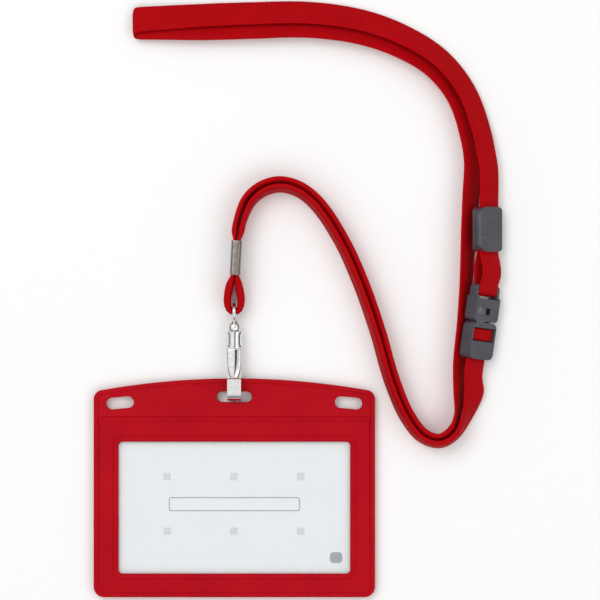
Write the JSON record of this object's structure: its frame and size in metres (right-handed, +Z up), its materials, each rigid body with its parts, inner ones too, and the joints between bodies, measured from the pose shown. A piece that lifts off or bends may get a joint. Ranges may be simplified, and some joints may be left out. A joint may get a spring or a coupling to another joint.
{
  "type": "lanyard badge holder",
  "caption": "Landscape card holder in red vinyl with a clear window, a swivel snap hook and a ribbon neck lanyard with slide adjuster and breakaway clasp.",
  "frame": {"origin": "under the middle of the card holder, on the surface it lies on", "axes": "+X along the holder's long side, +Y from the card towards the hook, +Z up out of the window"},
  "size_m": [0.1553, 0.2266, 0.013],
  "materials": {
    "vinyl": "matte grained vinyl",
    "clear_film": "clear PVC film",
    "card": "uncoated card",
    "nickel": "bright nickel plate",
    "spring_steel": "satin",
    "aluminium": "brushed",
    "ribbon": "woven polyester",
    "grey_plastic": "satin moulded"
  },
  "bodies": {
    "lanyard": {"crimp_sleeve": "aluminium", "crimp_loop": "ribbon", "strap_long": "ribbon", "strap_short": "ribbon", "clasp_socket": "grey_plastic"},
    "adjuster": {"adjuster_front": "grey_plastic", "adjuster_back": "grey_plastic"},
    "plug": {"clasp_plug": "grey_plastic", "plug_strap_end": "ribbon"},
    "eye": {"swivel_eye": "nickel"},
    "hook": {"hook_frame": "nickel", "swivel_collar": "nickel", "gate_pin": "nickel", "gate_spring": "spring_steel"},
    "gate": {"gate_lever": "nickel"},
    "holder": {"front_panel": "vinyl", "back_panel": "vinyl", "header_backing": "vinyl", "window_film": "clear_film"},
    "card": {"card_insert": "card"}
  },
  "joints": [
    {"name": "adjuster_slide", "type": "slide", "parent": "lanyard", "child": "adjuster", "axis": [0, 1, 0], "range_m": [0, 0.014]},
    {"name": "clasp_pull", "type": "slide", "parent": "lanyard", "child": "plug", "axis": [-0.1392, -0.9903, 0], "range_m": [0, 0.006]},
    {"name": "eye_swing", "type": "hinge", "parent": "lanyard", "child": "eye", "pos_m": [0, 0.0666, 0.0046], "axis": [1, 0, 0], "range_deg": [-60, 60]},
    {"name": "hook_swivel", "type": "hinge", "parent": "eye", "child": "hook", "pos_m": [0, 0.058, 0.0046], "axis": [0, 1, 0], "continuous": true},
    {"name": "gate_open", "type": "hinge", "parent": "hook", "child": "gate", "pos_m": [0, 0.0506, 0.005], "axis": [1, 0, 0], "range_deg": [0, 20], "stiffness_Nm_per_rad": 0.02, "springref_deg": -17.19},
    {"name": "holder_swing", "type": "hinge", "parent": "hook", "child": "holder", "pos_m": [0, 0.0365, 0.0026], "axis": [1, 0, 0], "range_deg": [0, 50]},
    {"name": "card_slide", "type": "slide", "parent": "holder", "child": "card", "axis": [0, 1, 0], "range_m": [0, 0.012]}
  ]
}
